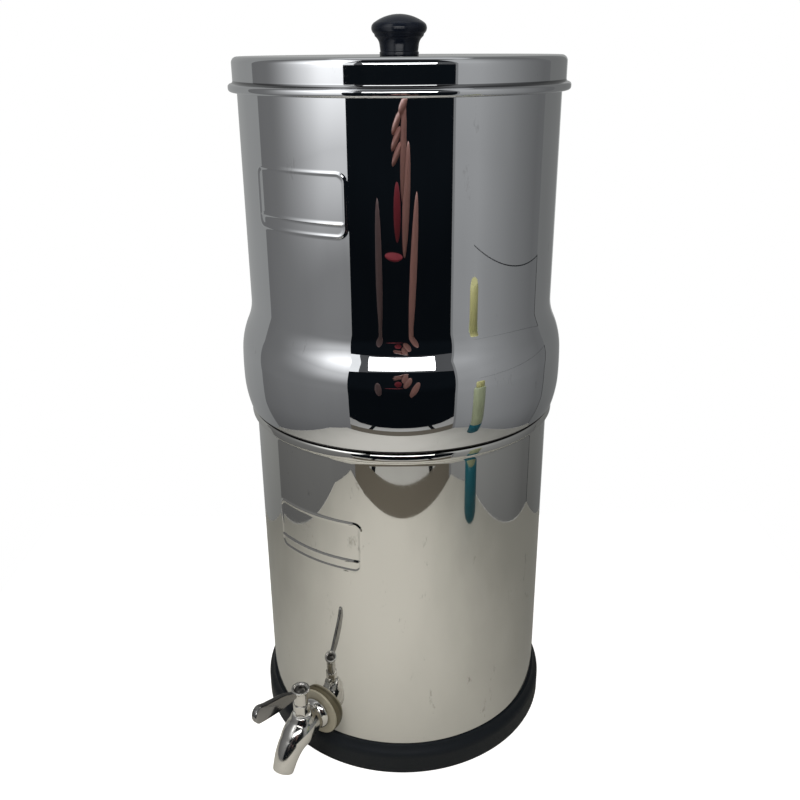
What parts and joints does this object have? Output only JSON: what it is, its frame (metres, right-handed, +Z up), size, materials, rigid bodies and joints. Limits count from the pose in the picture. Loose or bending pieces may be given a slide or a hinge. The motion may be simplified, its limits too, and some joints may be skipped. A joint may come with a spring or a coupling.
{
  "type": "gravity water filter",
  "caption": "Two stacked polished steel chambers with a bulged foot between them, a lid with a black knob, a black base ring and a lever tap.",
  "frame": {"origin": "on the surface it stands on, below the middle of the base ring", "axes": "+Z up along the chambers' axis; the tap points along -Y; +X is to the right of someone who faces the tap"},
  "size_m": [0.231, 0.2925, 0.5236],
  "materials": {
    "rubber_black": "satin",
    "steel_lower": "mirror polished",
    "rubber_olive": "satin",
    "washer_pale": "satin",
    "tap_metal": "polished",
    "steel_plain": "satin",
    "ptfe": "matt",
    "steel_dark": "satin",
    "steel_upper": "mirror polished",
    "carbon": "matt",
    "plastic_black": "satin",
    "plastic_white": "satin",
    "steel_lid": "mirror polished",
    "knob_black": "glossy"
  },
  "bodies": {
    "lower": {"base_ring": "rubber_black", "base_pad": "rubber_black", "lower_chamber": "steel_lower", "lower_floor": "steel_lower", "tap_outer_gasket": "rubber_olive", "tap_washer": "washer_pale", "tap_body": "tap_metal", "tap_inner_gasket": "washer_pale", "tap_lock_nut": "steel_plain", "valve_sleeve": "ptfe", "stem_o_ring": "rubber_black", "tap_bonnet": "tap_metal"},
    "lever": {"valve_plug": "steel_plain", "tap_lever": "tap_metal", "lever_screw": "steel_dark"},
    "upper": {"upper_chamber": "steel_upper", "upper_floor": "steel_upper", "filter_body_left": "carbon", "filter_body_right": "carbon", "filter_cap_left": "plastic_black", "filter_cap_right": "plastic_black", "filter_washers": "rubber_black", "wing_nut_left": "plastic_white", "wing_nut_right": "plastic_white", "hole_plugs": "plastic_black", "plug_washers": "rubber_black", "plug_nuts": "plastic_black"},
    "lid": {"lid": "steel_lid", "knob": "knob_black", "knob_washer": "steel_plain", "knob_screw": "steel_plain"}
  },
  "joints": [
    {"name": "lever_turn", "type": "hinge", "parent": "lower", "child": "lever", "pos_m": [0, -0.1285, 0.0383], "axis": [0, 0, 1], "range_deg": [0, 90]},
    {"name": "upper_lift", "type": "slide", "parent": "lower", "child": "upper", "axis": [0, 0, 1], "range_m": [0, 0.3]},
    {"name": "lid_lift", "type": "slide", "parent": "upper", "child": "lid", "axis": [0, 0, 1], "range_m": [0, 0.25]}
  ]
}
